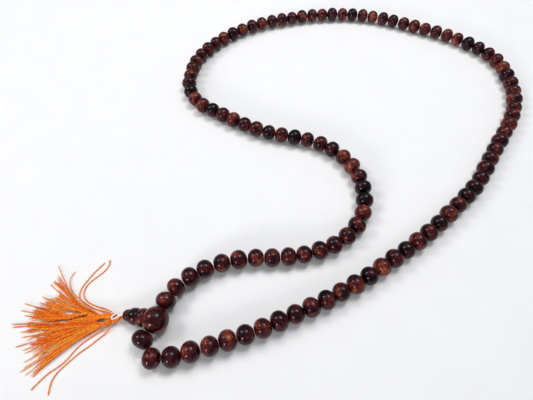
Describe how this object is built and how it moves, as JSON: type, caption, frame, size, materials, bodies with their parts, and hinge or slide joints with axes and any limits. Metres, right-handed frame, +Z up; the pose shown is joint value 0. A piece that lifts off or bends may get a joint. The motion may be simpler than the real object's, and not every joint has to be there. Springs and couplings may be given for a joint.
{
  "type": "prayer beads",
  "caption": "String of turned dark wooden prayer beads with a larger guru bead, a ridged end bead and an orange thread tassel, lying in an open loop.",
  "frame": {"origin": "middle of the footprint of the strand and tassel as they lie, on the surface", "axes": "+Z up from the surface; -X from the guru bead towards the tassel; +Y to the left of +X, away from the guru bead"},
  "size_m": [0.2404, 0.2355, 0.0103],
  "materials": {
    "wood_beads": "polished rosewood, each bead with its own grain from near black to orange brown",
    "wood_guru": "polished rosewood",
    "string_clear": "translucent nylon filament",
    "thread_orange": "twisted cotton thread, slightly fuzzy"
  },
  "bodies": {
    "strand_a": {"guru_bead": "wood_guru", "string_a": "string_clear"},
    "strand_b": {"string_b": "string_clear"},
    "strand_c": {"string_c": "string_clear"},
    "strand_d": {"string_d": "string_clear"},
    "ridged_bead": {"ridged_bead": "wood_guru"},
    "tassel": {"string_tie": "string_clear", "tassel_cord": "thread_orange", "tassel_neck": "thread_orange", "tassel_skirt": "thread_orange", "stray_thread_upper_outer": "thread_orange", "stray_thread_upper_inner": "thread_orange", "stray_thread_lower_inner": "thread_orange", "stray_thread_lower_outer": "thread_orange"},
    "bead_001": {"bead_001": "wood_beads"},
    "bead_002": {"bead_002": "wood_beads"},
    "beads_003_004": {"beads_003_004": "wood_beads"},
    "beads_005_006": {"beads_005_006": "wood_beads"},
    "beads_007_008": {"beads_007_008": "wood_beads"},
    "beads_009_010": {"beads_009_010": "wood_beads"},
    "beads_011_012": {"beads_011_012": "wood_beads"},
    "beads_013_014": {"beads_013_014": "wood_beads"},
    "beads_015_016": {"beads_015_016": "wood_beads"},
    "beads_017_018": {"beads_017_018": "wood_beads"},
    "beads_019_020": {"beads_019_020": "wood_beads"},
    "beads_021_022": {"beads_021_022": "wood_beads"},
    "beads_023_026": {"beads_023_026": "wood_beads"},
    "beads_027_028": {"beads_027_028": "wood_beads"},
    "beads_029_032": {"beads_029_032": "wood_beads"},
    "beads_033_034": {"beads_033_034": "wood_beads"},
    "beads_035_036": {"beads_035_036": "wood_beads"},
    "beads_037_038": {"beads_037_038": "wood_beads"},
    "beads_039_040": {"beads_039_040": "wood_beads"},
    "beads_041_042": {"beads_041_042": "wood_beads"},
    "beads_043_044": {"beads_043_044": "wood_beads"},
    "beads_045_046": {"beads_045_046": "wood_beads"},
    "beads_047_050": {"beads_047_050": "wood_beads"},
    "beads_051_053": {"beads_051_053": "wood_beads"},
    "beads_054_055": {"beads_054_055": "wood_beads"},
    "beads_056_057": {"beads_056_057": "wood_beads"},
    "beads_058_059": {"beads_058_059": "wood_beads"},
    "beads_060_063": {"beads_060_063": "wood_beads"},
    "beads_064_065": {"beads_064_065": "wood_beads"},
    "beads_066_067": {"beads_066_067": "wood_beads"},
    "beads_068_069": {"beads_068_069": "wood_beads"},
    "beads_070_072": {"beads_070_072": "wood_beads"},
    "beads_073_074": {"beads_073_074": "wood_beads"},
    "beads_075_076": {"beads_075_076": "wood_beads"},
    "beads_077_080": {"beads_077_080": "wood_beads"},
    "beads_081_083": {"beads_081_083": "wood_beads"},
    "beads_084_085": {"beads_084_085": "wood_beads"},
    "beads_086_088": {"beads_086_088": "wood_beads"},
    "beads_089_090": {"beads_089_090": "wood_beads"},
    "beads_091_094": {"beads_091_094": "wood_beads"},
    "beads_095_097": {"beads_095_097": "wood_beads"},
    "beads_098_101": {"beads_098_101": "wood_beads"},
    "beads_102_104": {"beads_102_104": "wood_beads"},
    "beads_105_106": {"beads_105_106": "wood_beads"},
    "bead_107": {"bead_107": "wood_beads"},
    "bead_108": {"bead_108": "wood_beads"}
  },
  "joints": [
    {"name": "strand_flex", "type": "hinge", "parent": "strand_a", "child": "strand_b", "pos_m": [-0.061, 0.026, 0.00415], "axis": [0, 0, 1], "range_deg": [-10, 8]},
    {"name": "strand_flex_far", "type": "hinge", "parent": "strand_b", "child": "strand_c", "pos_m": [0.0645, 0.1, 0.00415], "axis": [0, 0, 1], "range_deg": [-8, 10]},
    {"name": "strand_flex_near", "type": "hinge", "parent": "strand_a", "child": "strand_d", "pos_m": [-0.0495, -0.107, 0.00415], "axis": [0, 0, 1], "range_deg": [-10, 8]},
    {"name": "tassel_swing", "type": "hinge", "parent": "strand_a", "child": "tassel", "pos_m": [-0.08019, -0.0929, 0.00263], "axis": [0, 0, 1], "range_deg": [-30, 12]},
    {"name": "ridged_bead_turn", "type": "hinge", "parent": "strand_a", "child": "ridged_bead", "pos_m": [-0.0673, -0.096, 0.00515], "axis": [-0.9551, 0.23, -0.187], "continuous": true},
    {"name": "bead_001_turn", "type": "hinge", "parent": "strand_a", "child": "bead_001", "pos_m": [-0.0653, -0.0905, 0.00465], "axis": [0.3405, 0.9364, -0.0851], "continuous": true},
    {"name": "bead_002_turn", "type": "hinge", "parent": "strand_a", "child": "bead_002", "pos_m": [-0.06115, -0.0824, 0.00415], "axis": [0.6373, 0.7706, 0], "continuous": true},
    {"name": "beads_003_004_turn", "type": "hinge", "parent": "strand_a", "child": "beads_003_004", "pos_m": [-0.0529, -0.0763, 0.00415], "axis": [0.8674, 0.4977, 0], "continuous": true},
    {"name": "beads_005_006_turn", "type": "hinge", "parent": "strand_a", "child": "beads_005_006", "pos_m": [-0.03965, -0.0713, 0.00415], "axis": [0.9787, 0.2053, 0], "continuous": true},
    {"name": "beads_007_008_turn", "type": "hinge", "parent": "strand_a", "child": "beads_007_008", "pos_m": [-0.0255, -0.06995, 0.00415], "axis": [0.9998, -0.0214, 0], "continuous": true},
    {"name": "beads_009_010_turn", "type": "hinge", "parent": "strand_a", "child": "beads_009_010", "pos_m": [-0.01175, -0.0692, 0.00415], "axis": [0.9912, 0.1322, 0], "continuous": true},
    {"name": "beads_011_012_turn", "type": "hinge", "parent": "strand_a", "child": "beads_011_012", "pos_m": [0.0016, -0.06565, 0.00415], "axis": [0.928, 0.3726, 0], "continuous": true},
    {"name": "beads_013_014_turn", "type": "hinge", "parent": "strand_a", "child": "beads_013_014", "pos_m": [0.01335, -0.0575, 0.00415], "axis": [0.6835, 0.73, 0], "continuous": true},
    {"name": "beads_015_016_turn", "type": "hinge", "parent": "strand_a", "child": "beads_015_016", "pos_m": [0.02025, -0.0449, 0.00415], "axis": [0.2393, 0.9709, 0], "continuous": true},
    {"name": "beads_017_018_turn", "type": "hinge", "parent": "strand_a", "child": "beads_017_018", "pos_m": [0.021, -0.0309, 0.00415], "axis": [-0.1434, 0.9897, 0], "continuous": true},
    {"name": "beads_019_020_turn", "type": "hinge", "parent": "strand_a", "child": "beads_019_020", "pos_m": [0.01625, -0.018, 0.00415], "axis": [-0.53, 0.848, 0], "continuous": true},
    {"name": "beads_021_022_turn", "type": "hinge", "parent": "strand_a", "child": "beads_021_022", "pos_m": [0.00675, -0.008, 0.00415], "axis": [-0.8209, 0.5711, 0], "continuous": true},
    {"name": "beads_023_026_turn", "type": "hinge", "parent": "strand_a", "child": "beads_023_026", "pos_m": [-0.01225, -0.00025, 0.00415], "axis": [-0.9622, 0.2723, 0], "continuous": true},
    {"name": "beads_027_028_turn", "type": "hinge", "parent": "strand_a", "child": "beads_027_028", "pos_m": [-0.03175, 0.007, 0.00415], "axis": [-0.8725, 0.4886, 0], "continuous": true},
    {"name": "beads_029_032_turn", "type": "hinge", "parent": "strand_a", "child": "beads_029_032", "pos_m": [-0.0495, 0.01825, 0.00415], "axis": [-0.8293, 0.5589, 0], "continuous": true},
    {"name": "beads_033_034_turn", "type": "hinge", "parent": "strand_b", "child": "beads_033_034", "pos_m": [-0.06415, 0.0325, 0.00415], "axis": [-0.4361, 0.8999, 0], "continuous": true},
    {"name": "beads_035_036_turn", "type": "hinge", "parent": "strand_b", "child": "beads_035_036", "pos_m": [-0.06715, 0.0459, 0.00415], "axis": [0.0217, 0.9998, 0], "continuous": true},
    {"name": "beads_037_038_turn", "type": "hinge", "parent": "strand_b", "child": "beads_037_038", "pos_m": [-0.0655, 0.0594, 0.00415], "axis": [0.2216, 0.9751, 0], "continuous": true},
    {"name": "beads_039_040_turn", "type": "hinge", "parent": "strand_b", "child": "beads_039_040", "pos_m": [-0.06015, 0.072, 0.00415], "axis": [0.54, 0.8416, 0], "continuous": true},
    {"name": "beads_041_042_turn", "type": "hinge", "parent": "strand_b", "child": "beads_041_042", "pos_m": [-0.0514, 0.08315, 0.00415], "axis": [0.6893, 0.7245, 0], "continuous": true},
    {"name": "beads_043_044_turn", "type": "hinge", "parent": "strand_b", "child": "beads_043_044", "pos_m": [-0.0405, 0.09255, 0.00415], "axis": [0.816, 0.578, 0], "continuous": true},
    {"name": "beads_045_046_turn", "type": "hinge", "parent": "strand_b", "child": "beads_045_046", "pos_m": [-0.02805, 0.0998, 0.00415], "axis": [0.9067, 0.4217, 0], "continuous": true},
    {"name": "beads_047_050_turn", "type": "hinge", "parent": "strand_b", "child": "beads_047_050", "pos_m": [-0.00815, 0.1061, 0.00415], "axis": [0.9712, 0.2383, 0], "continuous": true},
    {"name": "beads_051_053_turn", "type": "hinge", "parent": "strand_b", "child": "beads_051_053", "pos_m": [0.0155, 0.11, 0.00415], "axis": [0.9983, 0.0587, 0], "continuous": true},
    {"name": "beads_054_055_turn", "type": "hinge", "parent": "strand_b", "child": "beads_054_055", "pos_m": [0.03235, 0.1099, 0.00415], "axis": [0.9945, -0.1047, 0], "continuous": true},
    {"name": "beads_056_057_turn", "type": "hinge", "parent": "strand_b", "child": "beads_056_057", "pos_m": [0.0455, 0.10745, 0.00415], "axis": [0.9656, -0.26, 0], "continuous": true},
    {"name": "beads_058_059_turn", "type": "hinge", "parent": "strand_b", "child": "beads_058_059", "pos_m": [0.05825, 0.10285, 0.00415], "axis": [0.9099, -0.4149, 0], "continuous": true},
    {"name": "beads_060_063_turn", "type": "hinge", "parent": "strand_c", "child": "beads_060_063", "pos_m": [0.077, 0.09325, 0.00415], "axis": [0.8799, -0.4751, 0], "continuous": true},
    {"name": "beads_064_065_turn", "type": "hinge", "parent": "strand_c", "child": "beads_064_065", "pos_m": [0.095, 0.08235, 0.00415], "axis": [0.7983, -0.6023, 0], "continuous": true},
    {"name": "beads_066_067_turn", "type": "hinge", "parent": "strand_c", "child": "beads_066_067", "pos_m": [0.1055, 0.0731, 0.00415], "axis": [0.7001, -0.7141, 0], "continuous": true},
    {"name": "beads_068_069_turn", "type": "hinge", "parent": "strand_c", "child": "beads_068_069", "pos_m": [0.1135, 0.06165, 0.00415], "axis": [0.4272, -0.9042, 0], "continuous": true},
    {"name": "beads_070_072_turn", "type": "hinge", "parent": "strand_c", "child": "beads_070_072", "pos_m": [0.11635, 0.04475, 0.00415], "axis": [-0.0142, -0.9999, 0], "continuous": true},
    {"name": "beads_073_074_turn", "type": "hinge", "parent": "strand_c", "child": "beads_073_074", "pos_m": [0.11435, 0.02745, 0.00415], "axis": [-0.2643, -0.9644, 0], "continuous": true},
    {"name": "beads_075_076_turn", "type": "hinge", "parent": "strand_c", "child": "beads_075_076", "pos_m": [0.10925, 0.01445, 0.00415], "axis": [-0.4614, -0.8872, 0], "continuous": true},
    {"name": "beads_077_080_turn", "type": "hinge", "parent": "strand_c", "child": "beads_077_080", "pos_m": [0.0973, -0.00345, 0.00415], "axis": [-0.5983, -0.8012, 0], "continuous": true},
    {"name": "beads_081_083_turn", "type": "hinge", "parent": "strand_c", "child": "beads_081_083", "pos_m": [0.0823, -0.02405, 0.00415], "axis": [-0.5756, -0.8177, 0], "continuous": true},
    {"name": "beads_084_085_turn", "type": "hinge", "parent": "strand_d", "child": "beads_084_085", "pos_m": [0.071, -0.03775, 0.00415], "axis": [-0.725, -0.6887, 0], "continuous": true},
    {"name": "beads_086_088_turn", "type": "hinge", "parent": "strand_d", "child": "beads_086_088", "pos_m": [0.05775, -0.04975, 0.00415], "axis": [-0.7512, -0.6601, 0], "continuous": true},
    {"name": "beads_089_090_turn", "type": "hinge", "parent": "strand_d", "child": "beads_089_090", "pos_m": [0.04375, -0.06125, 0.00415], "axis": [-0.8042, -0.5944, 0], "continuous": true},
    {"name": "beads_091_094_turn", "type": "hinge", "parent": "strand_d", "child": "beads_091_094", "pos_m": [0.02625, -0.07325, 0.00415], "axis": [-0.8348, -0.5506, 0], "continuous": true},
    {"name": "beads_095_097_turn", "type": "hinge", "parent": "strand_d", "child": "beads_095_097", "pos_m": [0.00525, -0.08575, 0.00415], "axis": [-0.8896, -0.4568, 0], "continuous": true},
    {"name": "beads_098_101_turn", "type": "hinge", "parent": "strand_d", "child": "beads_098_101", "pos_m": [-0.01675, -0.09575, 0.00415], "axis": [-0.9247, -0.3807, 0], "continuous": true},
    {"name": "beads_102_104_turn", "type": "hinge", "parent": "strand_d", "child": "beads_102_104", "pos_m": [-0.0395, -0.104, 0.00415], "axis": [-0.9578, -0.2873, 0], "continuous": true},
    {"name": "beads_105_106_turn", "type": "hinge", "parent": "strand_a", "child": "beads_105_106", "pos_m": [-0.05655, -0.1088, 0.00415], "axis": [-0.9689, -0.2474, 0], "continuous": true},
    {"name": "bead_107_turn", "type": "hinge", "parent": "strand_a", "child": "bead_107", "pos_m": [-0.0681, -0.1099, 0.00415], "axis": [-0.9881, 0.1537, 0], "continuous": true},
    {"name": "bead_108_turn", "type": "hinge", "parent": "strand_a", "child": "bead_108", "pos_m": [-0.07045, -0.10168, 0.00465], "axis": [0.4832, 0.8721, 0.0767], "continuous": true}
  ],
  "couplings": [
    {"joint": "strand_flex_far", "follows": "strand_flex", "ratio": -1},
    {"joint": "strand_flex_near", "follows": "strand_flex", "ratio": 1}
  ]
}
